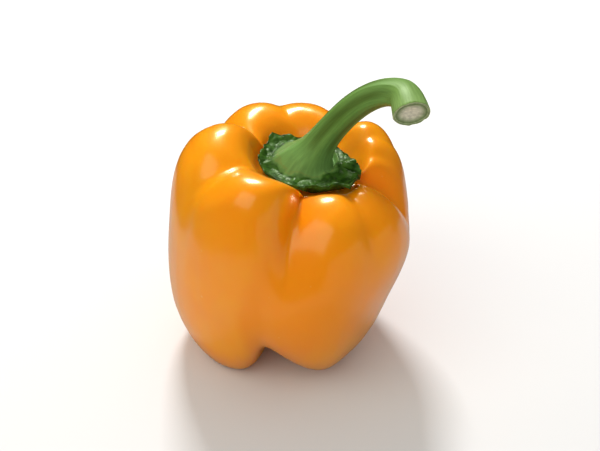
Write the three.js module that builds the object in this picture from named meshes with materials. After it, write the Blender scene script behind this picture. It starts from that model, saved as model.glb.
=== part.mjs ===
// A bell pepper: a blocky, four-lobed fruit standing on its own feet, with its green calyx and stalk on top.
// Millimetres, +Z up. X runs to the right and +Y away as one looks at the fruit from the front.
import * as THREE from "three";

const DEGREE = Math.PI / 180;

// The driving sizes. Every other length is a share of one of these two.
const WALL_RADIUS = 47; // the widest ring of the fruit's wall
const CREST_HEIGHT = 89; // the ring that draws the top of the lobes, which rounding brings down a little
const FOOT_PRESS = 3; // how far the guide rings of the feet reach below the table, to be pressed flat

// How finely each surface is drawn.
const FRUIT_COLUMNS = 84;
const FRUIT_ROWS = 46;
const STALK_COLUMNS = 54;
const STALK_ROWS = 44;
const SEAT_GAP = 1.4; // left between the calyx and the fruit's hollow

// The four lobes carry nine rounded bumps. Angles are in degrees round the fruit from +X, and a reach
// is a share of the ring's own radius. `rise` lifts a bump's crest, in millimetres, and `hollow` is how
// far the hollow's floor reaches on the bump's side.
const BUMPS = [
  { angle: -80, crest: 1.03, shoulder: 1.15, rise: -0.5, foot: 1.18, hollow: 1.0 },
  { angle: -34, crest: 1.2, shoulder: 1.16, rise: -0.5, foot: 0.86, hollow: 1.14 },
  { angle: -2, crest: 1.08, shoulder: 1.1, rise: -3.0, foot: 0.91, hollow: 0.86 },
  { angle: 28, crest: 1.0, shoulder: 1.05, rise: 0.0, foot: 0.94, hollow: 0.7 },
  { angle: 80, crest: 0.92, shoulder: 0.99, rise: -6.0, foot: 1.0, hollow: 0.84 },
  { angle: 118, crest: 0.95, shoulder: 1.0, rise: -3.0, foot: 1.0, hollow: 1.0 },
  { angle: 176, crest: 0.78, shoulder: 0.91, rise: 5.2, foot: 1.0, hollow: 0.98 },
  { angle: 208, crest: 0.92, shoulder: 0.97, rise: 1.0, foot: 0.99, hollow: 0.95 },
  { angle: 254, crest: 1.04, shoulder: 0.97, rise: 4.0, foot: 0.92, hollow: 1.02 },
];
const BUMP_SHARPNESS = 9; // higher lets one bump end sooner where the next begins

// A furrow wanders a little on its way down, so it has one place and one strength at the top and another
// at the foot. `lean` below 1 makes its clockwise side the steeper one.
const DEEP_FURROWS = [
  { top: -87, foot: -100, topStrength: 1.3, footStrength: 1.15, lean: 0.6 },
  { top: -18, foot: 0, topStrength: 1.5, footStrength: 0.5, lean: 1 },
  { top: 52, foot: 60, topStrength: 0.9, footStrength: 0.8, lean: 1 },
  { top: 148, foot: 140, topStrength: 1.0, footStrength: 0.9, lean: 1 },
];
const SHALLOW_FURROWS = [
  { top: -48, foot: -56, topStrength: 1.4, footStrength: 0.6, lean: 1 },
  { top: 5, foot: 14, topStrength: 0.8, footStrength: 0.5, lean: 1 },
  { top: 22, foot: 28, topStrength: 0.8, footStrength: 0.5, lean: 1 },
  { top: 100, foot: 100, topStrength: 0.7, footStrength: 0.8, lean: 1 },
  { top: 214, foot: 200, topStrength: 1.2, footStrength: 0.5, lean: 1 },
];
const FURROW_TURN = 8; // higher keeps a furrow in its foot place for longer, and turns it close to the top

// How the furrows cut the fruit at different heights: how far a deep furrow cuts in (a share of the
// radius) and down (mm), the same for a shallow one, a furrow's width and the roundness of its bottom
// (degrees), and `upness`, 0 where the furrows are in their foot place and 1 in their top place.
const PLAIN = { cut: 0, dip: 0, smallCut: 0, smallDip: 0, width: 20, round: 8, upness: 0 };
const FOOT = { cut: 0.45, dip: -19, smallCut: 0.04, smallDip: -1, width: 12, round: 3, upness: 0 };
const LOW = { cut: 0.18, dip: 0, smallCut: 0.02, smallDip: 0, width: 16, round: 5, upness: 0.15 };
const MIDDLE = { cut: 0.04, dip: 0, smallCut: 0.02, smallDip: 0, width: 24, round: 12, upness: 0.45 };
const UPPER = { cut: 0.06, dip: 0, smallCut: 0.03, smallDip: 0, width: 20, round: 6, upness: 0.75 };
const SHOULDER = { cut: 0.3, dip: 3, smallCut: 0.1, smallDip: 1, width: 15, round: 2.5, upness: 0.95 };
const CREST = { cut: 0.4, dip: 12, smallCut: 0.14, smallDip: 5, width: 14, round: 2, upness: 1 };
const RIM = { cut: 0.2, dip: 9, smallCut: 0.09, smallDip: 4, width: 15, round: 3, upness: 1 };

// The fruit's outline from the middle of its underside, round the wall, to the middle of the hollow that
// holds the stalk: each ring has its centre's x, its radius and its height, and says whose reach it takes.
const HOLLOW_X = 6;
const wall = (share) => share * WALL_RADIUS;
const high = (share) => share * CREST_HEIGHT;
const RINGS = [
  { x: -3.5, r: 0, z: high(0.17), furrows: PLAIN },
  { x: -3.5, r: wall(0.21), z: high(0.135), furrows: PLAIN },
  { x: -2.6, r: wall(0.38), z: -FOOT_PRESS, furrows: FOOT, bumps: "wall" },
  { x: -2.6, r: wall(0.68), z: -FOOT_PRESS, furrows: FOOT, bumps: "wall" },
  { x: -2.6, r: wall(0.87), z: high(0.146), furrows: LOW, bumps: "wall" },
  { x: -2.7, r: wall(0.948), z: high(0.38), furrows: MIDDLE, bumps: "wall" },
  { x: 0.2, r: wall(0.985), z: high(0.63), furrows: UPPER, bumps: "wall" },
  { x: 1, r: wall(0.975), z: high(0.865), furrows: SHOULDER, bumps: "wall" },
  { x: 2.5, r: wall(0.72), z: high(1), furrows: CREST, bumps: "crest" },
  { x: 5, r: wall(0.49), z: high(0.93), furrows: RIM, bumps: "crest" },
  { x: HOLLOW_X, r: wall(0.41), z: high(0.8), furrows: PLAIN, bumps: "hollow" },
  { x: HOLLOW_X, r: wall(0.19), z: high(0.79), furrows: PLAIN },
  { x: HOLLOW_X, r: 0, z: high(0.79), furrows: PLAIN },
];

// The calyx: sepals lying in the hollow, grown together into one crinkled green plate. The points go round
// its edge: `reach` is how far each is from the middle, `lift` how far it stands off the fruit and `rib`
// how high a soft rib runs out to it from the stalk's flare. Only a sepal's tip has a rib.
const SEPALS = [
  { angle: -150, reach: 17.0, lift: 0.8, rib: 0 },
  { angle: -112, reach: 18.0, lift: 0.4, rib: 0.6 },
  { angle: -85, reach: 19.5, lift: 0.0, rib: 0 },
  { angle: -70, reach: 20.5, lift: 0.3, rib: 0 },
  { angle: -56, reach: 25.0, lift: 0.8, rib: 0.9 },
  { angle: -42, reach: 21.5, lift: 0.8, rib: 0 },
  { angle: -18, reach: 19.0, lift: 2.0, rib: 0.6 },
  { angle: 8, reach: 14.0, lift: 1.2, rib: 0 },
  { angle: 38, reach: 13.0, lift: 0.4, rib: 0 },
  { angle: 66, reach: 15.0, lift: 0.6, rib: 0.3 },
  { angle: 98, reach: 14.0, lift: 0.8, rib: 0 },
  { angle: 132, reach: 19.0, lift: 1.0, rib: 0.5 },
  { angle: 157, reach: 17.0, lift: 0.8, rib: 0 },
  { angle: -173, reach: 17.5, lift: 0.8, rib: 1.5 },
];
const SEPAL_THICKNESS = 1.4;
const RIB_WIDTH = 9; // degrees
const CRINKLE = 0.45; // the height of the crinkles between the ribs

// The foot of the stalk's flare, where it meets the leafy plate: a round that lies a little to the left.
const FLARE_RADIUS = 11;
const FLARE_SHIFT = 1.2;
const FLARE_SIDE = 160; // degrees, the side it is shifted to
const FLARE_STEP = 0.8; // how far it stands above the plate

// The stalk's centre line above the middle of the hollow, with its radius: it leaves the calyx through a
// wide flare, leans to the right, bends over and ends in a thicker, straight cut that looks to the front.
// `ridged` says how clearly its lengthwise ridges show.
const STALK_LINE = [
  { at: [0.6, 0, 4.5], r: 9, ridged: 0.2 },
  { at: [2.4, 0.3, 8], r: 6.3, ridged: 0.6 },
  { at: [5.0, 0.9, 12.7], r: 5.3, ridged: 1 },
  { at: [8.7, 1.6, 17.8], r: 5, ridged: 1 },
  { at: [12.6, 2.2, 22.6], r: 5, ridged: 1 },
  { at: [17.2, 2.6, 27.1], r: 5, ridged: 1 },
  { at: [22.4, 2.3, 30.7], r: 5, ridged: 1 },
  { at: [27.2, 0.9, 32.8], r: 5, ridged: 0.8 },
  { at: [31.4, -2.4, 33.8], r: 5.4, ridged: 0.5 },
  { at: [33, -7, 33.9], r: 6, ridged: 0.3 },
  { at: [33.9, -12, 32.4], r: 6.4, ridged: 0.2 },
];
const RIDGES = 5;
const RIDGE_ANGLE = -89; // one ridge, the others are spaced evenly round the stalk
const RIDGE_DEPTH = 0.11; // from a ridge to the groove beside it, as a share of the radius

// The smallest turn from one angle to another, -180 to 180.
function turnBetween(from, to) {
  return ((((to - from + 180) % 360) + 360) % 360) - 180;
}

function mix(low, high, share) {
  return low + (high - low) * share;
}

// One of the bumps' values at an angle: each bump counts for most at its own angle.
function bumpValue(angle, name) {
  let sum = 0;
  let weights = 0;
  for (const bump of BUMPS) {
    const weight = Math.exp(BUMP_SHARPNESS * Math.cos((angle - bump.angle) * DEGREE));
    sum += weight * bump[name];
    weights += weight;
  }
  return sum / weights;
}

// How deep in a furrow an angle lies: 0 outside, about 1 at the bottom, with a narrow rounded valley.
function furrowDepth(angle, furrows, width, round, upness) {
  let depth = 0;
  for (const furrow of furrows) {
    const turn = turnBetween(mix(furrow.foot, furrow.top, upness ** FURROW_TURN), angle);
    const side = turn < 0 ? width * furrow.lean : width / furrow.lean;
    const fall = Math.sqrt(turn * turn + round * round) - round;
    depth += mix(furrow.footStrength, furrow.topStrength, upness) * Math.exp(-fall / side);
  }
  return depth;
}

// Where one ring of the fruit is at an angle.
function ringPoint(ring, angle) {
  const { cut, dip, smallCut, smallDip, width, round, upness } = ring.furrows;
  const deep = furrowDepth(angle, DEEP_FURROWS, width, round, upness);
  const small = furrowDepth(angle, SHALLOW_FURROWS, width * 0.8, round * 1.5, upness);
  let reach = 1;
  let rise = 0;
  if (ring.bumps === "wall") {
    reach = mix(bumpValue(angle, "foot"), bumpValue(angle, "shoulder"), upness);
  } else if (ring.bumps) {
    reach = bumpValue(angle, ring.bumps);
  }
  if (ring.bumps && upness > 0.9) {
    rise = bumpValue(angle, "rise");
  }
  const radius = ring.r * reach * (1 - cut * deep - smallCut * small);
  const height = ring.z - dip * deep - smallDip * small + rise;
  const turn = angle * DEGREE;
  return new THREE.Vector3(ring.x + radius * Math.cos(turn), radius * Math.sin(turn), height);
}

// The point at a place along a row of guide points, rounded by a uniform cubic B-spline.
function splinePoint(guides, place) {
  const first = Math.min(Math.floor(place), guides.length - 4);
  const t = place - first;
  const weights = [
    (1 - t) ** 3 / 6,
    (3 * t ** 3 - 6 * t * t + 4) / 6,
    (-3 * t ** 3 + 3 * t * t + 3 * t + 1) / 6,
    t ** 3 / 6,
  ];
  const point = new THREE.Vector3();
  weights.forEach((weight, i) => point.addScaledVector(guides[first + i], weight));
  return point;
}

// Guide points with one more at each end, so that the surface closes flat at its two poles.
function closeAtPoles(guides) {
  const start = guides[0];
  const end = guides[guides.length - 1];
  const beforeStart = start.clone().multiplyScalar(2).sub(guides[1]);
  const afterEnd = end.clone().multiplyScalar(2).sub(guides[guides.length - 2]);
  beforeStart.z = guides[1].z;
  return [beforeStart, ...guides, afterEnd];
}

// A closed skin from columns of points that all start at one pole and end at the other.
function skinOf(columns) {
  const inner = columns[0].length - 2;
  const positions = [];
  const faces = [];
  columns.forEach((column) => column.slice(1, -1).forEach((p) => positions.push(p.x, p.y, p.z)));
  const startPole = columns.length * inner;
  const endPole = startPole + 1;
  const start = columns[0][0];
  const end = columns[0][inner + 1];
  positions.push(start.x, start.y, start.z, end.x, end.y, end.z);
  columns.forEach((column, c) => {
    const here = c * inner;
    const next = ((c + 1) % columns.length) * inner;
    faces.push(startPole, next, here);
    for (let i = 0; i < inner - 1; i++) {
      faces.push(here + i, next + i, next + i + 1);
      faces.push(here + i, next + i + 1, here + i + 1);
    }
    faces.push(endPole, here + inner - 1, next + inner - 1);
  });
  const geometry = new THREE.BufferGeometry();
  geometry.setAttribute("position", new THREE.Float32BufferAttribute(positions, 3));
  geometry.setIndex(faces);
  geometry.computeVertexNormals();
  return geometry;
}

// One column of the fruit's skin, from under it to the hollow. What would reach below the table is
// pressed flat, and that makes the feet it rests on.
function fruitColumn(angle, rows) {
  const guides = closeAtPoles(RINGS.map((ring) => ringPoint(ring, angle)));
  const last = guides.length - 3;
  const column = [];
  for (let i = 0; i <= rows; i++) {
    const point = splinePoint(guides, (last * i) / rows);
    point.z = Math.max(point.z, 0);
    column.push(point);
  }
  return column;
}

function fruitGeometry() {
  const columns = [];
  for (let c = 0; c < FRUIT_COLUMNS; c++) {
    columns.push(fruitColumn((360 * c) / FRUIT_COLUMNS, FRUIT_ROWS));
  }
  return skinOf(columns);
}

// The height of the hollow's surface at an angle and a distance from its middle.
function hollowHeight(angle, distance) {
  const column = fruitColumn(angle, FRUIT_ROWS);
  for (let i = column.length - 1; i > 0; i--) {
    const inner = Math.hypot(column[i].x - HOLLOW_X, column[i].y);
    const outer = Math.hypot(column[i - 1].x - HOLLOW_X, column[i - 1].y);
    if (outer >= distance) {
      const share = Math.max(0, (distance - inner) / (outer - inner));
      return mix(column[i].z, column[i - 1].z, share);
    }
  }
  return column[0].z;
}

// The calyx's edge at an angle: a straight run from one sepal's tip to the next.
function calyxEdge(angle) {
  const full = (turn) => ((turn % 360) + 360) % 360;
  const index = SEPALS.findIndex((sepal, i) => {
    const next = SEPALS[(i + 1) % SEPALS.length];
    return full(angle - sepal.angle) < full(next.angle - sepal.angle);
  });
  const here = SEPALS[index];
  const next = SEPALS[(index + 1) % SEPALS.length];
  const span = full(next.angle - here.angle);
  const along = full(angle - here.angle);
  const reach =
    (here.reach * next.reach * Math.sin(span * DEGREE)) /
    (here.reach * Math.sin(along * DEGREE) + next.reach * Math.sin((span - along) * DEGREE));
  return { reach, lift: mix(here.lift, next.lift, along / span) };
}

// How far the calyx's top swells at an angle: high along each sepal's rib.
function ribHeight(angle) {
  const heights = SEPALS.map((sepal) => {
    const turn = turnBetween(sepal.angle, angle) / RIB_WIDTH;
    return sepal.rib * Math.exp(-turn * turn);
  });
  return Math.max(...heights);
}

// One column of the stalk's skin: out along the calyx's underside, round its rim, back over its crinkled
// top and up the stalk to the middle of the cut.
function stalkColumn(angle, frames) {
  const out = new THREE.Vector3(Math.cos(angle * DEGREE), Math.sin(angle * DEGREE), 0);
  const edge = calyxEdge(angle);
  const flare = FLARE_RADIUS + FLARE_SHIFT * Math.cos((angle - FLARE_SIDE) * DEGREE);
  const onCalyx = (share, above) => {
    const distance = share * edge.reach;
    const seat = hollowHeight(angle, distance) + SEAT_GAP + edge.lift * share * share;
    return out.clone().multiplyScalar(distance).add(new THREE.Vector3(HOLLOW_X, 0, seat + above));
  };
  const onTop = (part) => {
    const share = mix(flare / edge.reach, 1, part);
    const wave = Math.sin(angle * 9 * DEGREE + share * 14) * Math.cos(angle * 5 * DEGREE - share * 9);
    return onCalyx(share, SEPAL_THICKNESS + (1 - part) * ribHeight(angle) + CRINKLE * wave);
  };
  const underside = [0, 0.35, 0.6, 0.8, 0.93].map((share) => onCalyx(share, 0));
  const rim = [onCalyx(1, 0.1), onCalyx(1, SEPAL_THICKNESS)];
  const top = [0.85, 0.65, 0.45, 0.25].map(onTop);
  const flareFoot = onCalyx(flare / edge.reach, SEPAL_THICKNESS + FLARE_STEP + ribHeight(angle));
  const guides = [onTop(0.25), flareFoot, ...frames.map((at) => at(angle, 1, 0))];
  const tip = frames[frames.length - 1];
  const cut = [tip(angle, 1, 0), tip(angle, 0.92, 0.25), tip(angle, 0.45, 0.25), tip(angle, 0, 0.25)];
  const skinRows = STALK_ROWS - underside.length - rim.length - top.length - cut.length;
  const stretch = (guides.length - 3) / skinRows;
  const skin = [];
  for (let i = 1; i <= skinRows; i++) {
    skin.push(splinePoint(guides, i * stretch));
  }
  return [...underside, ...rim, ...top, ...skin, ...cut];
}

// How far the stalk's skin reaches at an angle, as a share of its radius: sharp ridges, round grooves.
function ridgeReach(angle, ridged) {
  const across = Math.abs(Math.sin(((angle - RIDGE_ANGLE) * RIDGES * DEGREE) / 2));
  return 1 + ridged * RIDGE_DEPTH * (0.5 - across);
}

// For each point of the stalk's centre line, a function that gives a point of the skin round it: at an
// angle, a share of the radius out and a length beyond. The frame is carried along without twisting.
function stalkFrames() {
  const middle = new THREE.Vector3(HOLLOW_X, 0, hollowHeight(0, 0));
  const centres = STALK_LINE.map((stop) => new THREE.Vector3(...stop.at).add(middle));
  let start = new THREE.Vector3(1, 0, 0);
  return centres.map((centre, i) => {
    const before = centres[Math.max(i - 1, 0)];
    const after = centres[Math.min(i + 1, centres.length - 1)];
    const along = after.clone().sub(before).normalize();
    start = start.clone().addScaledVector(along, -start.dot(along)).normalize();
    const across = start;
    const side = along.clone().cross(across);
    return (angle, share, beyond) => {
      const reach = share * STALK_LINE[i].r * ridgeReach(angle, STALK_LINE[i].ridged);
      const point = centre.clone().addScaledVector(along, beyond);
      point.addScaledVector(across, reach * Math.cos(angle * DEGREE));
      return point.addScaledVector(side, reach * Math.sin(angle * DEGREE));
    };
  });
}

function stalkGeometry() {
  const frames = stalkFrames();
  const columns = [];
  for (let c = 0; c < STALK_COLUMNS; c++) {
    columns.push(stalkColumn((360 * c) / STALK_COLUMNS, frames));
  }
  return skinOf(columns);
}

function named(name, geometry, colour, roughness) {
  const material = new THREE.MeshStandardMaterial({ color: colour, roughness, metalness: 0 });
  const mesh = new THREE.Mesh(geometry, material);
  mesh.name = name;
  return mesh;
}

const fruit = named("fruit", fruitGeometry(), 0xf08c0a, 0.25);
const stalk = named("stalk", stalkGeometry(), 0x4c7a2a, 0.5);

// The part's origin is on the table, under the middle of its whole outline.
const group = new THREE.Group();
group.add(fruit, stalk);
const outline = new THREE.Box3().setFromObject(group);
const middle = outline.getCenter(new THREE.Vector3());
for (const mesh of [fruit, stalk]) {
  mesh.geometry.translate(-middle.x, -middle.y, -outline.min.z);
}

export default group;
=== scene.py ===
# %% [markdown]
# # A bell pepper
# The object is one fresh bell pepper: a blocky orange fruit with four lobes, and a green stalk whose calyx
# lies in the hollow on top. Its solid model is already packed, so the script starts by loading that frame.
# Everything here is in metres, +Z is up, and the pepper's front looks along -Y.

# %% Load the solid model
import math

import bpy
import numpy as np
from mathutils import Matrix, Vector, noise


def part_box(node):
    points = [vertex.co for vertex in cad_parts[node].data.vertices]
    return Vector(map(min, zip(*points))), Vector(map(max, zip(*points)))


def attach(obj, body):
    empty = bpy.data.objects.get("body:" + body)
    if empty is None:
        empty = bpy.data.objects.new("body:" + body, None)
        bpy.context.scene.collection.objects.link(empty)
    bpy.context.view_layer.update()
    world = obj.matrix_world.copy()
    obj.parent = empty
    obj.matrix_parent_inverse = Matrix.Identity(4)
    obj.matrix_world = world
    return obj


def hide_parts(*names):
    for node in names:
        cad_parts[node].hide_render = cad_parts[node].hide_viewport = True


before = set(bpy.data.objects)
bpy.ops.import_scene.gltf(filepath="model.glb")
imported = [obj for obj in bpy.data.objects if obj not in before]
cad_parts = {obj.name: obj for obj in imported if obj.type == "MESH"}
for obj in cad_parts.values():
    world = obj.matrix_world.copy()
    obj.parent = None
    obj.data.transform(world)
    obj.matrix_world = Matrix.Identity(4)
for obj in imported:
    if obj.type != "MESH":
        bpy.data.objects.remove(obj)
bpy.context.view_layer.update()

fruit_low, fruit_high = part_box("fruit")
stalk_low, stalk_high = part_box("stalk")
MM = 0.001

# %% [markdown]
# ## The camera
# The photograph looks down on the pepper at 38 degrees, from about 60 cm, through a short telephoto lens.
# An empty scene has no camera, so one is made and aimed: a camera looks along its own -Z, and
# `to_track_quat` turns it to the point that the middle of the photograph shows.

# %% Camera
CAMERA_ELEVATION = math.radians(38)
CAMERA_DISTANCE = 0.62
LENS_MM = 105
SENSOR_WIDTH_MM = 36
AIM_OFFSET_X = 4.35 * MM
AIM_OFFSET_Y = 1.15 * MM
AIM_HEIGHT = 47 * MM

fruit_middle = (fruit_low + fruit_high) / 2
aim = Vector((fruit_middle.x + AIM_OFFSET_X, fruit_middle.y + AIM_OFFSET_Y, AIM_HEIGHT))
towards_camera = Vector((0, -math.cos(CAMERA_ELEVATION), math.sin(CAMERA_ELEVATION)))

camera_data = bpy.data.cameras.new("camera")
camera_data.lens = LENS_MM
camera_data.sensor_width = SENSOR_WIDTH_MM
camera = bpy.data.objects.new("camera", camera_data)
camera.location = aim + towards_camera * CAMERA_DISTANCE
camera.rotation_euler = (-towards_camera).to_track_quat("-Z", "Y").to_euler()
bpy.context.scene.collection.objects.link(camera)
bpy.context.scene.camera = camera
print("camera at", [round(v, 3) for v in camera.location])

# %% [markdown]
# ## Helpers for surfaces that grew
# The fruit and the stalk are both closed skins that start at one pole and end at another, like a globe.
# Each is a grid of points, worked out all at once with numpy: a row is a ring round the piece, and a column
# runs from pole to pole. The guide rings between are few, and a uniform cubic B-spline rounds them off,
# which is how a lofted surface is made in most modelling programs.

# %% Lofting a skin through guide rings
def turned(angles):
    """Unit vectors in the XY plane at these angles, in degrees."""
    turns = np.radians(angles)
    return np.stack([np.cos(turns), np.sin(turns), np.zeros_like(turns)], -1)


def loft(rings, rows):
    """Rows of points that follow the guide rings smoothly, from the first ring to the last."""
    rings = np.asarray(rings)
    last = len(rings) - 3
    skin = []
    for place in np.linspace(0, last, rows):
        first = min(int(place), last - 1)
        t = place - first
        weights = (
            (1 - t) ** 3 / 6,
            (3 * t**3 - 6 * t * t + 4) / 6,
            (-3 * t**3 + 3 * t * t + 3 * t + 1) / 6,
            t**3 / 6,
        )
        skin.append(sum(w * rings[first + i] for i, w in enumerate(weights)))
    return np.array(skin)


def outward(skin):
    """The unit normal at each point of a grid whose columns close on themselves."""
    round_it = np.roll(skin, -1, axis=1) - np.roll(skin, 1, axis=1)
    along_it = np.gradient(skin, axis=0)
    normal = np.cross(round_it, along_it)
    length = np.linalg.norm(normal, axis=-1, keepdims=True)
    return normal / np.maximum(length, 1e-12)


def skin_piece(name, skin):
    """A closed mesh from a grid of points, one pole at each end, with smooth shading."""
    rows, columns = skin.shape[:2]
    inner = skin[1:-1].reshape(-1, 3)
    points = np.concatenate([skin[:1, 0], inner, skin[-1:, 0]])
    end = len(points) - 1
    here = np.arange(columns)
    after = (here + 1) % columns
    faces = [(0, 1 + b, 1 + a) for a, b in zip(here, after)]
    for row in range(rows - 3):
        low = 1 + row * columns
        high = low + columns
        faces += [(low + a, low + b, high + b, high + a) for a, b in zip(here, after)]
    top = 1 + (rows - 3) * columns
    faces += [(end, top + a, top + b) for a, b in zip(here, after)]
    mesh = bpy.data.meshes.new(name)
    mesh.from_pydata(points.tolist(), [], [tuple(int(i) for i in f) for f in faces])
    mesh.shade_smooth()
    piece = bpy.data.objects.new(name, mesh)
    bpy.context.scene.collection.objects.link(piece)
    return piece


def paint_value(piece, name, grid):
    """Stores one number per point of the grid, for the material to read."""
    values = np.concatenate([[grid[0].mean()], grid[1:-1].ravel(), [grid[-1].mean()]])
    attribute = piece.data.attributes.new(name, "FLOAT", "POINT")
    attribute.data.foreach_set("value", values.astype(np.float32))


def smooth_noise(points, size, octaves=2, seed=0):
    """Smooth bumps about `size` across, from -1 to 1, at each point of a grid."""
    # Each seed reads another part of the noise.
    shift = Vector((seed * 13.7, seed * 5.1, seed * 9.3))
    flat = (points / size).reshape(-1, 3)
    values = [noise.fractal(Vector(p) + shift, 1.0, 2.0, octaves) for p in flat]
    return np.array(values).reshape(points.shape[:-1])


def fitted(skin, low, high):
    """The skin, stretched by a hair so that its box is the solid's own."""
    found_low = skin.reshape(-1, 3).min(0)
    found_high = skin.reshape(-1, 3).max(0)
    share = (skin - found_low) / (found_high - found_low)
    return np.array(low) + share * (np.array(high) - np.array(low))


# %% [markdown]
# ## The shape of the fruit
# A blocky pepper has four lobes, and each lobe is two bumps with a shallow furrow between them. So the
# shape is written down as bumps and furrows at angles round the fruit, and as thirteen guide rings from
# the middle of the underside, round the wall and over the crest, down into the hollow. A furrow bites into
# each ring with a narrow rounded valley that fades out to both sides.
#
# Angles are in degrees and turn from the right of the photograph (0) to the back (90). A reach is a share
# of the ring's own radius, and a rise is in millimetres. A furrow's lean makes one of its sides steeper.

# %% Bumps and furrows
WALL_RADIUS = 47 * MM
CREST_HEIGHT = 89 * MM
FOOT_PRESS = 3 * MM

# angle, crest reach, shoulder reach, rise, foot reach, reach of the hollow's floor
BUMPS = [
    (-80, 1.03, 1.15, -0.5, 1.18, 1.00),
    (-34, 1.20, 1.16, -0.5, 0.86, 1.14),
    (-2, 1.08, 1.10, -3.0, 0.91, 0.86),
    (28, 1.00, 1.05, 0.0, 0.94, 0.70),
    (80, 0.92, 0.99, -6.0, 1.00, 0.84),
    (118, 0.95, 1.00, -3.0, 1.00, 1.00),
    (176, 0.78, 0.91, 5.2, 1.00, 0.98),
    (208, 0.92, 0.97, 1.0, 0.99, 0.95),
    (254, 1.04, 0.97, 4.0, 0.92, 1.02),
]
BUMP_SHARPNESS = 9
CREST_REACH, SHOULDER_REACH, RISE, FOOT_REACH, HOLLOW_REACH = 1, 2, 3, 4, 5

# A furrow keeps its foot angle up the wall and turns to its top angle near the crest.
FURROW_TURN = 8

# top angle, foot angle, strength at the top, strength at the foot, lean
DEEP_FURROWS = [
    (-87, -100, 1.3, 1.15, 0.6),
    (-18, 0, 1.5, 0.5, 1.0),
    (52, 60, 0.9, 0.8, 1.0),
    (148, 140, 1.0, 0.9, 1.0),
]
SHALLOW_FURROWS = [
    (-48, -56, 1.4, 0.6, 1.0),
    (5, 14, 0.8, 0.5, 1.0),
    (22, 28, 0.8, 0.5, 1.0),
    (100, 100, 0.7, 0.8, 1.0),
    (214, 200, 1.2, 0.5, 1.0),
]


def bump_value(angles, which):
    """One of the bumps' values at each angle: a bump counts for most at its own angle."""
    total = 0
    weights = 0
    for bump in BUMPS:
        weight = np.exp(BUMP_SHARPNESS * np.cos(np.radians(angles - bump[0])))
        total = total + weight * bump[which]
        weights = weights + weight
    return total / weights


def furrow_depth(angles, furrows, width, roundness, upness):
    """0 outside the furrows and about 1 at the bottom of one."""
    depth = np.zeros_like(angles)
    for top, foot, top_strength, foot_strength, lean in furrows:
        middle = foot + (top - foot) * upness**FURROW_TURN
        strength = foot_strength + (top_strength - foot_strength) * upness
        turn = (angles - middle + 180) % 360 - 180
        side = np.where(turn < 0, width * lean, width / lean)
        fall = np.sqrt(turn * turn + roundness * roundness) - roundness
        depth += strength * np.exp(-fall / side)
    return depth


print(len(BUMPS), "bumps,", len(DEEP_FURROWS), "deep and", len(SHALLOW_FURROWS), "shallow furrows")

# %% [markdown]
# Each guide ring is a round that the bumps push out and the furrows cut in. The furrows are deepest at the
# crest, where they also dip, and nearly gone at the middle of the wall. Under the feet the ring lies below
# the table, and the furrows there lift it, so that only the feet touch down.

# %% Guide rings
# cut, dip, small cut, small dip, width, roundness, upness
PLAIN = (0, 0, 0, 0, 20, 8, 0)
FOOT = (0.45, -19, 0.04, -1, 12, 3, 0)
LOW = (0.18, 0, 0.02, 0, 16, 5, 0.15)
MIDDLE = (0.04, 0, 0.02, 0, 24, 12, 0.45)
UPPER = (0.06, 0, 0.03, 0, 20, 6, 0.75)
SHOULDER = (0.30, 3, 0.10, 1, 15, 2.5, 0.95)
CREST = (0.40, 12, 0.14, 5, 14, 2, 1)
RIM = (0.20, 9, 0.09, 4, 15, 3, 1)

# centre's x in mm, share of the wall's radius, height as a share of the crest's, furrows, whose reach
# A ring without a height lies a little below the table.
RINGS = [
    (-3.5, 0, 0.17, PLAIN, None),
    (-3.5, 0.21, 0.135, PLAIN, None),
    (-2.6, 0.38, None, FOOT, "wall"),
    (-2.6, 0.68, None, FOOT, "wall"),
    (-2.6, 0.87, 0.146, LOW, "wall"),
    (-2.7, 0.948, 0.38, MIDDLE, "wall"),
    (0.2, 0.985, 0.63, UPPER, "wall"),
    (1, 0.975, 0.865, SHOULDER, "wall"),
    (2.5, 0.72, 1, CREST, "crest"),
    (5, 0.49, 0.93, RIM, "crest"),
    (6, 0.41, 0.8, PLAIN, "hollow"),
    (6, 0.19, 0.79, PLAIN, None),
    (6, 0, 0.79, PLAIN, None),
]

SMALL_WIDTH = 0.8
SMALL_ROUNDNESS = 1.5
SMALL_SHADE = 0.3
TOP_RINGS = 0.9


def guide_ring(ring, angles):
    """One guide ring's points, and how deep in a furrow each one lies."""
    x, radius, height, furrows, bumps = ring
    cut, dip, small_cut, small_dip, width, roundness, upness = furrows
    deep = furrow_depth(angles, DEEP_FURROWS, width, roundness, upness)
    small_width = width * SMALL_WIDTH
    small = furrow_depth(angles, SHALLOW_FURROWS, small_width, roundness * SMALL_ROUNDNESS, upness)
    reach = 1
    if bumps == "wall":
        foot = bump_value(angles, FOOT_REACH)
        reach = foot + (bump_value(angles, SHOULDER_REACH) - foot) * upness
    if bumps == "crest":
        reach = bump_value(angles, CREST_REACH)
    if bumps == "hollow":
        reach = bump_value(angles, HOLLOW_REACH)
    rise = bump_value(angles, RISE) if bumps and upness > TOP_RINGS else 0
    level = -FOOT_PRESS if height is None else height * CREST_HEIGHT
    distance = radius * WALL_RADIUS * reach * (1 - cut * deep - small_cut * small)
    points = turned(angles) * distance[:, None]
    points[:, 0] += x * MM
    points[:, 2] = level + (rise - dip * deep - small_dip * small) * MM
    return points, deep + SMALL_SHADE * small


def close_poles(rings):
    """One more ring at each end, so that the loft reaches the poles and closes there."""
    before = 2 * rings[0] - rings[1]
    before[:, 2] = rings[1][:, 2]
    return [before, *rings, 2 * rings[-1] - rings[-2]]


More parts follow.
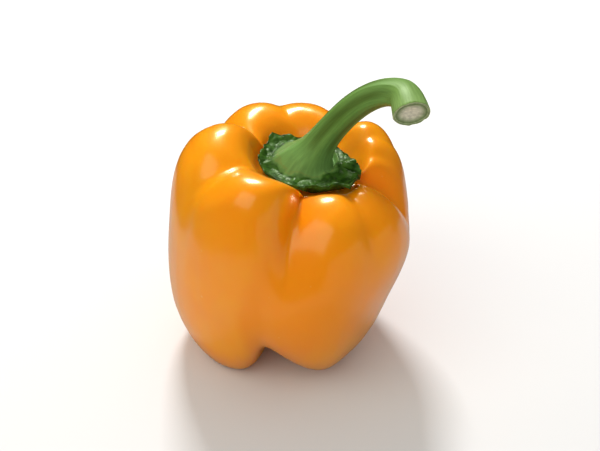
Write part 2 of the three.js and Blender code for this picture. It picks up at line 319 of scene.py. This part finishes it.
FRUIT_COLUMNS = 384
FRUIT_ROWS = 256
angles = np.linspace(0, 360, FRUIT_COLUMNS, endpoint=False)
fruit_guides = [guide_ring(ring, angles) for ring in RINGS]
fruit_skin = loft(close_poles([points for points, _ in fruit_guides]), FRUIT_ROWS)
furrow_rings = [depth[:, None] for _, depth in fruit_guides]
furrow_map = loft([furrow_rings[0], *furrow_rings, furrow_rings[-1]], FRUIT_ROWS)[..., 0]
print("fruit skin", fruit_skin.shape, "lowest", round(float(fruit_skin[..., 2].min()) / MM, 2), "mm")

# %% [markdown]
# A real skin isn't a perfect spline. It is drawn a little tighter here and there, which breaks its
# reflections into soft streaks that run down the wall. Those are real shape, so they move the points
# along their normals by a tenth of a millimetre or two, with noise that is stretched up and down. Broad
# swells, twice as high, keep the lobes from being too regular.
# Last, what would reach below the table is pressed flat: those are the feet that it stands on.

# %% Skin relief and feet
STREAK_SIZE = 7 * MM
STREAK_STRETCH = 5
STREAK_HEIGHT = 0.15 * MM
SWELL_SIZE = 24 * MM
SWELL_HEIGHT = 0.35 * MM

stretched = fruit_skin * np.array([1, 1, 1 / STREAK_STRETCH])
streaks = smooth_noise(stretched, STREAK_SIZE, seed=1)
swells = smooth_noise(fruit_skin, SWELL_SIZE, octaves=1, seed=2)
relief = STREAK_HEIGHT * streaks + SWELL_HEIGHT * swells
fruit_skin = fruit_skin + outward(fruit_skin) * relief[..., None]
fruit_skin[..., 2] = np.maximum(fruit_skin[..., 2], 0)
fruit_skin = fitted(fruit_skin, fruit_low, fruit_high)

fruit = skin_piece("fruit_skin", fruit_skin)
paint_value(fruit, "furrow", furrow_map)
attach(fruit, "root")
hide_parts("fruit")
print("fruit faces", len(fruit.data.polygons))

# %% [markdown]
# ## The calyx and the stalk
# The calyx is the green plate of sepals left from the flower. It is thin, crinkled and pointed, and it
# follows the hollow that it grew in. So its underside is found from the fruit's own skin: for a place in
# the hollow, the height of the skin there plus a small gap.

# %% Where the hollow's surface is
STALK_COLUMNS = 480
UNDERSIDE_ROWS = 24
TUBE_ROWS = 158
CUT_ROWS = 22
hollow_middle = fruit_skin[-1, 0]


def hollow_heights(columns):
    """For each angle round the hollow, distances from its middle and the skin's heights there."""
    wanted = np.linspace(0, 360, columns, endpoint=False)
    # The hollow lies in the last third of the rows.
    inner_rows = fruit_skin[FRUIT_ROWS * 2 // 3 :]
    away = inner_rows - hollow_middle
    bearing = np.degrees(np.arctan2(away[..., 1], away[..., 0])) % 360
    profiles = []
    for angle in wanted:
        nearest = np.abs((bearing - angle + 180) % 360 - 180).argmin(axis=1)
        picked = away[np.arange(len(away)), nearest]
        distance = np.linalg.norm(picked[:, :2], axis=1)
        profiles.append((distance[::-1], picked[::-1, 2]))
    return profiles


print("middle of the hollow", [round(float(v), 4) for v in hollow_middle])

# %% [markdown]
# Each sepal has a tip and a rib that runs out to it. Between the tips the edge is nearly straight and a
# little ragged. A rib is a low ridge that fades from the foot of the stalk's flare to the tip.

# %% Sepals
# angle, reach in mm, lift in mm, rib height in mm, for points round the calyx's edge
SEPALS = [
    (-150, 17.5, 0.3, 0),
    (-112, 18.0, 0.4, 0.6),
    (-85, 19.5, 0.0, 0),
    (-70, 20.5, 0.1, 0),
    (-56, 25.0, 0.3, 0.9),
    (-42, 21.5, 0.5, 0),
    (-18, 19.0, 2.0, 0.6),
    (8, 14.0, 1.2, 0),
    (38, 13.0, 0.4, 0),
    (66, 15.0, 0.6, 0.3),
    (98, 14.0, 0.8, 0),
    (132, 19.0, 1.0, 0.5),
    (157, 17.0, 0.8, 0),
    (187, 17.8, 0.5, 1.5),
]
SEPAL_THICKNESS = 1.4 * MM
SEAT_GAP = 0.6 * MM
RIB_WIDTH = 9
EDGE_RAGGEDNESS = 0.5 * MM
EDGE_TOOTH = 3 * MM
FLARE_RADIUS = 11
FLARE_SHIFT = 1.2
FLARE_SIDE = 160


def calyx_edge(angles):
    """The reach and the lift of the calyx's edge: straight runs from one sepal's tip to the next."""
    reach = np.zeros_like(angles)
    lift = np.zeros_like(angles)
    for here, after in zip(SEPALS, SEPALS[1:] + SEPALS[:1]):
        span = (after[0] - here[0]) % 360
        along = (angles - here[0]) % 360
        mine = along < span
        a = np.radians(along[mine])
        s = math.radians(span)
        reach[mine] = here[1] * after[1] * math.sin(s) / (here[1] * np.sin(a) + after[1] * np.sin(s - a))
        share = along[mine] / span
        lift[mine] = here[2] + (after[2] - here[2]) * share
    edge = turned(angles) * reach[:, None] * MM
    ragged = smooth_noise(edge, EDGE_TOOTH, octaves=2, seed=5)
    return reach * MM + ragged * EDGE_RAGGEDNESS, lift * MM


def flare_reach(angles):
    """How far from the middle the foot of the stalk's flare is: a round that lies a little to the left."""
    return (FLARE_RADIUS + FLARE_SHIFT * np.cos(np.radians(angles - FLARE_SIDE))) * MM


def rib_height(angles):
    """How high the ribs of the sepals stand at each angle."""
    height = np.zeros_like(angles)
    for angle, _, _, rib in SEPALS:
        turn = (angles - angle + 180) % 360 - 180
        height += rib * MM * np.exp(-((turn / RIB_WIDTH) ** 2))
    return height


stalk_angles = np.linspace(0, 360, STALK_COLUMNS, endpoint=False)
edge_reach, edge_lift = calyx_edge(stalk_angles)
ribs = rib_height(stalk_angles)
flare_share = flare_reach(stalk_angles) / edge_reach
profiles = hollow_heights(STALK_COLUMNS)


def on_calyx(share, above):
    """A ring of points at this share of the calyx's reach, this far above its underside."""
    distance = share * edge_reach
    seat = np.array([np.interp(d, *profile) for d, profile in zip(distance, profiles)])
    points = turned(stalk_angles) * distance[:, None]
    points[:, 2] = seat + SEAT_GAP + edge_lift * share * share + above
    return points + hollow_middle


print("calyx reaches", [round(float(v) / MM, 1) for v in (edge_reach.min(), edge_reach.max())], "mm")

# %% [markdown]
# The stalk grows out of the calyx's middle through a flare and is a tube along a centre line. Five blunt
# ridges run along it, as on the real stalk, and they fade where it flares at the foot and at the cut.

# %% The stalk's tube
# centre in mm from the middle of the hollow, radius in mm, how ridged it is
STALK_LINE = [
    ((0.6, 0, 4.5), 9, 0.2),
    ((2.4, 0.3, 8), 6.3, 0.6),
    ((5.0, 0.9, 12.7), 5.3, 1),
    ((8.7, 1.6, 17.8), 5, 1),
    ((12.6, 2.2, 22.6), 5, 1),
    ((17.2, 2.6, 27.1), 5, 1),
    ((22.4, 2.3, 30.7), 5, 1),
    ((27.2, 0.9, 32.8), 5.2, 0.8),
    ((32.0, -2.4, 33.7), 5.9, 0.5),
    ((33, -7, 33.9), 6, 0.3),
    ((33.9, -12, 32.4), 6.4, 0.2),
]
RIDGES = 5
RIDGE_ANGLE = -89
RIDGE_DEPTH = 0.11


def valley(angles):
    """0 on the crest of a ridge and 1 in the valley between two."""
    return np.abs(np.sin(np.radians(angles - RIDGE_ANGLE) * RIDGES / 2))


def ridge_reach(angles, ridged):
    """How the ridges change the stalk's radius at each angle."""
    return 1 + ridged * RIDGE_DEPTH * (0.5 - valley(angles))


def stalk_rings(angles):
    """A ring of points round each point of the stalk's centre line, and its last direction."""
    centres = [hollow_middle + np.array(stop[0]) * MM for stop in STALK_LINE]
    across = np.array([1.0, 0, 0])
    rings = []
    for i, (_, radius, ridged) in enumerate(STALK_LINE):
        along = centres[min(i + 1, len(centres) - 1)] - centres[max(i - 1, 0)]
        along /= np.linalg.norm(along)
        across = across - across.dot(along) * along
        across /= np.linalg.norm(across)
        side = np.cross(along, across)
        out = np.cos(np.radians(angles))[:, None] * across + np.sin(np.radians(angles))[:, None] * side
        reach = ridge_reach(angles, ridged)[:, None]
        rings.append(centres[i] + radius * MM * reach * out)
    return rings, along, centres[-1]


tube_rings, tip_direction, tip_centre = stalk_rings(stalk_angles)
print("stalk ends at", [round(float(v), 4) for v in tip_centre])

# %% [markdown]
# The rings join into one skin: the calyx's underside, its edge, its top with the ribs, the tube, and the
# cut. Each guide ring also says how leafy it is, and the loft spreads that number over the skin, for the
# crinkles and for the material.

# %% From the calyx's underside to the cut
underside = [on_calyx(share, 0) for share in np.linspace(0, 1, UNDERSIDE_ROWS)]

# place from the flare's foot (0) to the edge (1), share of the ribs' height, extra height in mm, how leafy
CALYX_TOP = [
    (0.95, 0.1, 0, 1),
    (0.75, 0.3, 0, 1),
    (0.50, 0.6, 0, 1),
    (0.20, 0.9, 0.1, 0.8),
    (0.0, 1.0, 0.8, 0.35),
]
guides = [on_calyx(1, SEPAL_THICKNESS * part) for part in (0, 0.5, 1)]
leafy_guides = [1] * len(guides)
for place, rib_share, extra, leafy in CALYX_TOP:
    share = flare_share + (1 - flare_share) * place
    guides.append(on_calyx(share, SEPAL_THICKNESS + rib_share * ribs + extra * MM))
    leafy_guides.append(leafy)
calyx_guides = len(guides)
guides += tube_rings
leafy_guides += [0] * len(tube_rings)

tube = loft([2 * guides[0] - guides[1], *guides, 2 * guides[-1] - guides[-2]], TUBE_ROWS)
leafy_rings = [np.full((STALK_COLUMNS, 1), float(leafy)) for leafy in leafy_guides]
leafy_map = loft([leafy_rings[0], *leafy_rings, leafy_rings[-1]], TUBE_ROWS)[..., 0]
print(len(guides), "guide rings from the calyx's edge to the cut,", calyx_guides, "of them on the calyx")

# %% [markdown]
# Leafy skin is crinkled: sharp little folds between puffed cells, from two to five millimetres across.
# The absolute value of smooth noise has just such creases where it crosses zero. The crinkles fade out
# where the calyx turns into the stalk, and at its thin edge.

# %% Crinkles
CRINKLE_HEIGHT = 1.1 * MM
BROAD_PUFFS = 5 * MM
FINE_PUFFS = 2.2 * MM
BROAD_SHARE = 1.4
FINE_SHARE = 0.35
CREASE_DEPTH = 0.4
CRINKLES_START = 0.5
CRINKLES_FULL = 0.9
EDGE_FADE = (0, 0.3, 0.7)


def crinkles(points):
    """Puffed cells with creases between them, from about -0.5 to 0.5."""
    broad = np.abs(smooth_noise(points, BROAD_PUFFS, octaves=1, seed=7))
    fine = np.abs(smooth_noise(points, FINE_PUFFS, octaves=1, seed=8))
    return BROAD_SHARE * broad + FINE_SHARE * fine - CREASE_DEPTH


puffed = np.clip((leafy_map - CRINKLES_START) / (CRINKLES_FULL - CRINKLES_START), 0, 1)
puffed[: len(EDGE_FADE)] *= np.array(EDGE_FADE)[:, None]
folds = CRINKLE_HEIGHT * crinkles(tube) * puffed
tube = tube + outward(tube) * folds[..., None]
print("crinkles from", [round(float(v) / MM, 2) for v in (folds.min(), folds.max())], "mm")

# %% [markdown]
# The cut is nearly flat. The tough rind stands up as a thin rim, torn a little along the lower side, and
# the soft pith in the middle has shrunk back.

# %% The cut
RIND_RISE = 0.35 * MM
RIND_PLACE = 0.95
RIND_WIDTH = 0.05
TORN_HEIGHT = 0.4 * MM
TORN_SIZE = 1.5 * MM
PITH_SINK = 0.5 * MM
PITH_PLACE = 0.8
FIRST_CUT_RING = 0.985

cut_rows = []
cut_shares = np.linspace(FIRST_CUT_RING, 0, CUT_ROWS)
torn = smooth_noise(tube[-1:], TORN_SIZE, octaves=3, seed=9)[0]
for share in cut_shares:
    ring = tip_centre + (tube[-1] - tip_centre) * share
    rim = math.exp(-(((share - RIND_PLACE) / RIND_WIDTH) ** 2))
    sunk = max(0, 1 - (share / PITH_PLACE) ** 2)
    rise = rim * (RIND_RISE + TORN_HEIGHT * torn) - sunk * PITH_SINK
    cut_rows.append(ring + np.reshape(rise, (-1, 1)) * tip_direction)

stalk_skin = np.array([*underside[:-1], *tube, *cut_rows])
stalk_skin = fitted(stalk_skin, stalk_low, stalk_high)
stalk = skin_piece("stalk_skin", stalk_skin)
print("stalk skin", stalk_skin.shape)

# %% [markdown]
# Four things are painted on the stalk's points for its material: how leafy the skin is, how far in from
# the rim a point of the cut lies, how deep in a valley between two ridges it is, and a place in the grain.
# The grain runs along the stalk, so its first two numbers go round it and the third, from 0 at the foot to
# 1 at the cut, changes slowly.

# %% Numbers for the stalk's material
calyx_row = UNDERSIDE_ROWS - 1
stalk_row = calyx_row + TUBE_ROWS * calyx_guides // len(guides)
cut_row = calyx_row + TUBE_ROWS

leafy_values = np.zeros(stalk_skin.shape[:2])
leafy_values[:calyx_row] = 1
leafy_values[calyx_row:cut_row] = leafy_map
paint_value(stalk, "leafy", leafy_values)

cut_map = np.zeros(stalk_skin.shape[:2])
cut_map[cut_row:] = (1 - cut_shares)[:, None]
paint_value(stalk, "cut", cut_map)

groove = valley(stalk_angles)[:, None]
groove_guides = [groove * 0] * calyx_guides + [groove * ridged for _, _, ridged in STALK_LINE]
groove_map = np.zeros(stalk_skin.shape[:2])
groove_map[calyx_row:cut_row] = loft([groove_guides[0], *groove_guides, groove_guides[-1]], TUBE_ROWS)[..., 0]
paint_value(stalk, "groove", groove_map)

along_map = np.zeros(stalk_skin.shape[:2])
along_map[stalk_row:cut_row] = np.linspace(0, 1, cut_row - stalk_row)[:, None]
along_map[cut_row:] = 1
paint_value(stalk, "along", along_map)

round_x, round_y = turned(stalk_angles)[:, :2].T
paint_value(stalk, "round x", along_map * 0 + round_x)
paint_value(stalk, "round y", along_map * 0 + round_y)

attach(stalk, "root")
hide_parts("stalk")
print("stalk faces", len(stalk.data.polygons))

# %% [markdown]
# ## Materials
# Both skins are painted by nodes alone: noise for what varies at random, and the numbers painted above for
# what depends on the place. A few helpers keep that code short: each one adds a node and joins it up.

# %% Helpers for materials
def new_material(name):
    """A new material, its nodes, its links and its main shader."""
    material = bpy.data.materials.new(name)
    material.use_nodes = True
    nodes = material.node_tree.nodes
    return material, nodes, material.node_tree.links, nodes["Principled BSDF"]


def painted(nodes, name):
    """The number that was painted on the mesh under this name."""
    node = nodes.new("ShaderNodeAttribute")
    node.attribute_name = name
    return node.outputs["Fac"]


def noise_node(nodes, links, vector, scale, detail=2.0):
    """Noise from 0 to 1, with `scale` bumps to the metre or to the unit of its vector."""
    node = nodes.new("ShaderNodeTexNoise")
    node.inputs["Scale"].default_value = scale
    node.inputs["Detail"].default_value = detail
    links.new(vector, node.inputs["Vector"])
    return node.outputs["Fac"]


def ramp(nodes, links, value, stops):
    """A colour for each value, from stops of (position, colour)."""
    node = nodes.new("ShaderNodeValToRGB")
    elements = node.color_ramp.elements
    while len(elements) < len(stops):
        elements.new(0.5)
    for element, (position, colour) in zip(elements, stops):
        element.position = position
        element.color = (*colour, 1)
    links.new(value, node.inputs["Fac"])
    return node.outputs["Color"]


def mixed(nodes, links, share, first, second, mode="MIX"):
    """The first colour, with this share of the second."""
    node = nodes.new("ShaderNodeMix")
    node.data_type = "RGBA"
    node.blend_type = mode
    share_socket, first_socket, second_socket = node.inputs[0], node.inputs[6], node.inputs[7]
    for value, socket in ((share, share_socket), (first, first_socket), (second, second_socket)):
        if isinstance(value, float):
            socket.default_value = value
        elif isinstance(value, tuple):
            socket.default_value = (*value, 1)
        else:
            links.new(value, socket)
    return node.outputs[2]


def bump_node(nodes, links, height, distance):
    """A bump from this height, at most this many metres high."""
    node = nodes.new("ShaderNodeBump")
    node.inputs["Distance"].default_value = distance
    links.new(height, node.inputs["Height"])
    return node


def grey(level):
    """A grey as red, green and blue, for a colour or to multiply one by."""
    return (level, level, level)


print("material helpers ready")

# %% [markdown]
# The skin of a ripe pepper is smooth and waxy: a saturated orange body with a clear gloss over it. Its hue
# drifts a little from patch to patch, and the furrows are a touch redder and darker: painted shade and bounce
# light.
# Here and there the skin has a tiny pale pore, so a few of the cells of a Voronoi texture get a dot in the
# middle. The flesh lets some light in, so the shader scatters it below the surface, red the furthest. A
# texture can't give the gloss: that is a coat over an orange-tinted highlight, which keeps its glow warm.

# %% Orange skin
AMBER = (0.94, 0.33, 0.001)
ORANGE = (0.92, 0.285, 0.001)
# A redder, darker orange painted into the furrows as their shade and bounced light.
FURROW_SHADE_ORANGE = (0.91, 0.27, 0.001)
PORE = (0.95, 0.55, 0.16)
PATCHES_PER_METRE = 38
PORE_CELLS_PER_METRE = 170


def orange_skin():
    material, nodes, links, shader = new_material("orange pepper skin")
    place = nodes.new("ShaderNodeTexCoord").outputs["Object"]
    patches = noise_node(nodes, links, place, PATCHES_PER_METRE)
    body = ramp(nodes, links, patches, [(0.35, ORANGE), (0.65, AMBER)])
    # Painted shade: the deeper in a furrow, the redder and darker the orange.
    furrow_shade = ramp(nodes, links, painted(nodes, "furrow"), [(0.7, grey(0)), (1.0, grey(1))])
    body = mixed(nodes, links, furrow_shade, body, FURROW_SHADE_ORANGE)

    cells = nodes.new("ShaderNodeTexVoronoi")
    cells.inputs["Scale"].default_value = PORE_CELLS_PER_METRE
    links.new(place, cells.inputs["Vector"])
    dots = ramp(nodes, links, cells.outputs["Distance"], [(0.05, grey(1)), (0.1, grey(0))])
    some = ramp(nodes, links, cells.outputs["Color"], [(0.62, grey(0)), (0.68, grey(0.5))])
    specks = mixed(nodes, links, 1.0, dots, some, "MULTIPLY")
    body = mixed(nodes, links, specks, body, PORE)
    links.new(body, shader.inputs["Base Color"])

    shader.inputs["Roughness"].default_value = 0.36
    shader.inputs["Specular IOR Level"].default_value = 0.5
    shader.inputs["Specular Tint"].default_value = (1.0, 0.66, 0.16, 1)
    shader.inputs["Coat Weight"].default_value = 0.8
    shader.inputs["Coat Roughness"].default_value = 0.18
    shader.inputs["Subsurface Weight"].default_value = 0.4
    shader.inputs["Subsurface Radius"].default_value = (1.0, 0.35, 0.03)
    shader.inputs["Subsurface Scale"].default_value = 0.004
    return material


print("pores sit in cells of", round(1000 / PORE_CELLS_PER_METRE, 1), "mm")

# %% [markdown]
# The stalk is green wood with a satin skin that is streaked along its grain. It is palest near the cut,
# partly its own paler green and partly a painted sheen of the key light, and darker between the ridges,
# partly the valleys' own green and partly painted shade. The calyx is darker still, and a little glossier. A
# faint orange-brown line is painted where the two meet, a painted reflection of the orange fruit. On the cut,
# a pale rind goes round green and dark rings of vessels, then the cream pith.
# All of it is one material on one skin, and the painted numbers say which part is which.

# %% Green stalk
# place along the stalk, from the foot (0) to the cut (1), and the wood's colour there; the pale green at the
# cut is partly its own colour and partly a painted sheen of the key light
WOOD_AND_END_SHEEN = [
    (0.0, (0.14, 0.28, 0.07)),
    (0.12, (0.13, 0.27, 0.06)),
    (0.4, (0.112, 0.228, 0.04)),
    (0.7, (0.14, 0.27, 0.06)),
    (0.86, (0.15, 0.27, 0.06)),
    (1.0, (0.20, 0.33, 0.09)),
]
# Darker between the ridges: partly the valleys' own green, partly painted shade.
VALLEY_GREEN_AND_SHADE = (0.64, 0.60, 0.46)
DARK_LEAF = (0.012, 0.042, 0.003)
LIGHT_LEAF = (0.045, 0.125, 0.012)
# An orange-brown line painted where calyx and stalk meet: a painted reflection of the orange fruit.
FRUIT_REFLECTION_BROWN = (0.20, 0.13, 0.02)
# place on the cut, from the rim (0) to the middle (1), and the colour there
CUT_FACE = [
    (0.015, (0.26, 0.32, 0.14)),
    (0.04, (0.42, 0.46, 0.27)),
    (0.08, (0.17, 0.23, 0.09)),
    (0.12, (0.33, 0.38, 0.21)),
    (0.18, (0.13, 0.19, 0.07)),
    (0.28, (0.24, 0.29, 0.15)),
    (0.42, (0.44, 0.45, 0.31)),
    (0.62, (0.62, 0.59, 0.46)),
]
STREAKS_ACROSS = 9
LEAF_CELLS_PER_METRE = 420
LEAF_EDGE_PER_METRE = 260
FIBRES_PER_METRE = 900
WOOD_ROUGHNESS = 0.44
LEAF_ROUGHNESS = 0.4
CUT_ROUGHNESS = 0.7


def green_stalk():
    material, nodes, links, shader = new_material("green stalk")
    place = nodes.new("ShaderNodeTexCoord").outputs["Object"]
    leafy = painted(nodes, "leafy")
    along = painted(nodes, "along")
    cut = painted(nodes, "cut")

    grain = nodes.new("ShaderNodeCombineXYZ")
    links.new(painted(nodes, "round x"), grain.inputs["X"])
    links.new(painted(nodes, "round y"), grain.inputs["Y"])
    links.new(along, grain.inputs["Z"])
    streaks = noise_node(nodes, links, grain.outputs["Vector"], STREAKS_ACROSS, detail=4.0)

    # The pale end of this ramp is partly a painted sheen of the key light.
    wood = ramp(nodes, links, along, WOOD_AND_END_SHEEN)
    darker = ramp(nodes, links, streaks, [(0.3, grey(0.82)), (0.7, grey(1.1))])
    wood = mixed(nodes, links, 1.0, wood, darker, "MULTIPLY")
    # Painted shade, with the valleys' own darker green, between the ridges.
    valley_green_and_shade = ramp(nodes, links, painted(nodes, "groove"), [(0.6, grey(1)), (0.95, VALLEY_GREEN_AND_SHADE)])
    wood = mixed(nodes, links, 1.0, wood, valley_green_and_shade, "MULTIPLY")

    cells = noise_node(nodes, links, place, LEAF_CELLS_PER_METRE, detail=1.5)
    leaf = ramp(nodes, links, cells, [(0.3, DARK_LEAF), (0.7, LIGHT_LEAF)])
    blotches = noise_node(nodes, links, place, LEAF_EDGE_PER_METRE)
    ragged = nodes.new("ShaderNodeMath")
    ragged.operation = "MULTIPLY"
    links.new(leafy, ragged.inputs[0])
    links.new(ramp(nodes, links, blotches, [(0.35, grey(0.7)), (0.65, grey(1.3))]), ragged.inputs[1])
    leaf_share = ramp(nodes, links, ragged.outputs["Value"], [(0.30, grey(0)), (0.6, grey(1))])
    skin = mixed(nodes, links, leaf_share, wood, leaf)
    # A thin painted reflection of the orange fruit where the calyx turns into the stalk.
    fruit_reflection_line = ramp(nodes, links, ragged.outputs["Value"], [(0.24, grey(0)), (0.30, grey(0.25)), (0.36, grey(0))])
    skin = mixed(nodes, links, fruit_reflection_line, skin, FRUIT_REFLECTION_BROWN)

    face = ramp(nodes, links, cut, CUT_FACE)
    fibres = noise_node(nodes, links, place, FIBRES_PER_METRE)
    speckle = ramp(nodes, links, fibres, [(0.35, grey(0.8)), (0.65, grey(1.12))])
    face = mixed(nodes, links, 1.0, face, speckle, "MULTIPLY")
    on_cut = ramp(nodes, links, cut, [(0.005, grey(0)), (0.015, grey(1))])
    links.new(mixed(nodes, links, on_cut, skin, face), shader.inputs["Base Color"])

    gloss = mixed(nodes, links, leaf_share, grey(WOOD_ROUGHNESS), grey(LEAF_ROUGHNESS))
    gloss = mixed(nodes, links, on_cut, gloss, grey(CUT_ROUGHNESS))
    links.new(gloss, shader.inputs["Roughness"])
    shader.inputs["Specular IOR Level"].default_value = 0.2
    shader.inputs["Specular Tint"].default_value = (0.75, 1.0, 0.6, 1)

    grooves = bump_node(nodes, links, streaks, 0.6 * MM)
    grooves.inputs["Strength"].default_value = 0.15
    puckers = bump_node(nodes, links, cells, 0.2 * MM)
    links.new(leaf_share, puckers.inputs["Strength"])
    links.new(grooves.outputs["Normal"], puckers.inputs["Normal"])
    links.new(puckers.outputs["Normal"], shader.inputs["Normal"])
    return material


fruit.data.materials.append(orange_skin())
stalk.data.materials.append(green_stalk())
print("materials", [slot.name for piece in (fruit, stalk) for slot in piece.data.materials])

# %% [markdown]
# ## Floor
# The pepper stands on a plain pale floor. In the photograph the waxy wall mirrors a sheet of paper, which
# veils the lower half, and nothing else of the room. So the floor is left out of the reflections, and two
# grey cards that only they can see, one lying and one standing at the right, take its place.

# %% Floor
def sheet(name, corners, paper):
    """A flat sheet with these corners, as part of the stage."""
    mesh = bpy.data.meshes.new(name)
    mesh.from_pydata(corners, [], [tuple(range(len(corners)))])
    mesh.materials.append(paper)
    piece = bpy.data.objects.new(name, mesh)
    bpy.context.scene.collection.objects.link(piece)
    return piece


def matt_paper(name, level):
    """Paper that reflects this share of the light."""
    material, _, _, shader = new_material(name)
    shader.inputs["Base Color"].default_value = (*grey(level), 1)
    shader.inputs["Roughness"].default_value = 0.9
    shader.inputs["Specular IOR Level"].default_value = 0.1
    return material


# The floor lies a hair below the feet, and the lying card between the two.
FLOOR_HALF = 1.5
FLOOR_Z = -0.6 * MM
floor_corners = [(x * FLOOR_HALF, y * FLOOR_HALF, FLOOR_Z) for x, y in ((-1, -1), (1, -1), (1, 1), (-1, 1))]
floor = sheet("floor", floor_corners, matt_paper("pale paper", 0.72))
floor.visible_glossy = False

CARD_Z = -0.2 * MM
CARD_OUTLINE = [
    (-0.14, 0.0),
    (-0.11, -0.09),
    (-0.05, -0.16),
    (0.05, -0.21),
    (0.34, -0.21),
    (0.34, 0.12),
    (-0.14, 0.12),
]
grey_card = matt_paper("grey card", 0.34)
lying_card = sheet("lying_card", [(x, y, CARD_Z) for x, y in CARD_OUTLINE], grey_card)
STANDING_CARD = [(0.02, -0.24, 0), (0.34, -0.06, 0), (0.34, -0.06, 0.11), (0.02, -0.24, 0.11)]
standing_card = sheet("standing_card", STANDING_CARD, grey_card)
for card in (lying_card, standing_card):
    card.visible_camera = False
    card.visible_diffuse = False
    card.visible_shadow = False
print("floor and", [card.name for card in (lying_card, standing_card)])

# %% [markdown]
# ## Light
# The light is soft, as in a small studio. The key light is high behind the pepper and makes the bright
# spots on the crests. The real spots have a soft white glow round them, so a second, larger lamp stands in
# the same place and only adds to the gloss. A broad front light and the white world fill the shadows, and
# the skin mirrors the lamps but not the world.

# %% Lights
def soft_light(name, direction, distance, size, watts, colour=(1, 1, 1)):
    """A rectangular area light that looks at the pepper from that direction."""
    data = bpy.data.lights.new(name, "AREA")
    data.shape = "RECTANGLE"
    data.size, data.size_y = size
    data.energy = watts
    data.color = colour
    lamp = bpy.data.objects.new(name, data)
    place = Vector(direction).normalized()
    lamp.location = aim + place * distance
    lamp.rotation_euler = place.to_track_quat("Z", "Y").to_euler()
    bpy.context.scene.collection.objects.link(lamp)
    return lamp


WARM = (1.0, 0.97, 0.82)
HIGH_BEHIND = (-0.12, 0.66, 0.74)
FRONT_LEFT = (-0.46, -0.49, 0.72)
soft_light("key light", HIGH_BEHIND, distance=0.9, size=(0.2, 0.14), watts=7.7)
gleam = soft_light("gleam light", HIGH_BEHIND, distance=0.88, size=(0.36, 0.25), watts=4.8, colour=WARM)
gleam.visible_diffuse = False
soft_light("front light", FRONT_LEFT, distance=1.1, size=(1.1, 0.75), watts=4.6, colour=WARM)

world = bpy.data.worlds.new("studio")
bpy.context.scene.world = world
world.use_nodes = True
background = world.node_tree.nodes["Background"]
background.inputs["Color"].default_value = (1, 1, 1, 1)
background.inputs["Strength"].default_value = 0.55
world.cycles_visibility.glossy = False
bpy.context.scene.view_settings.view_transform = "Standard"
bpy.context.scene.cycles.use_denoising = True
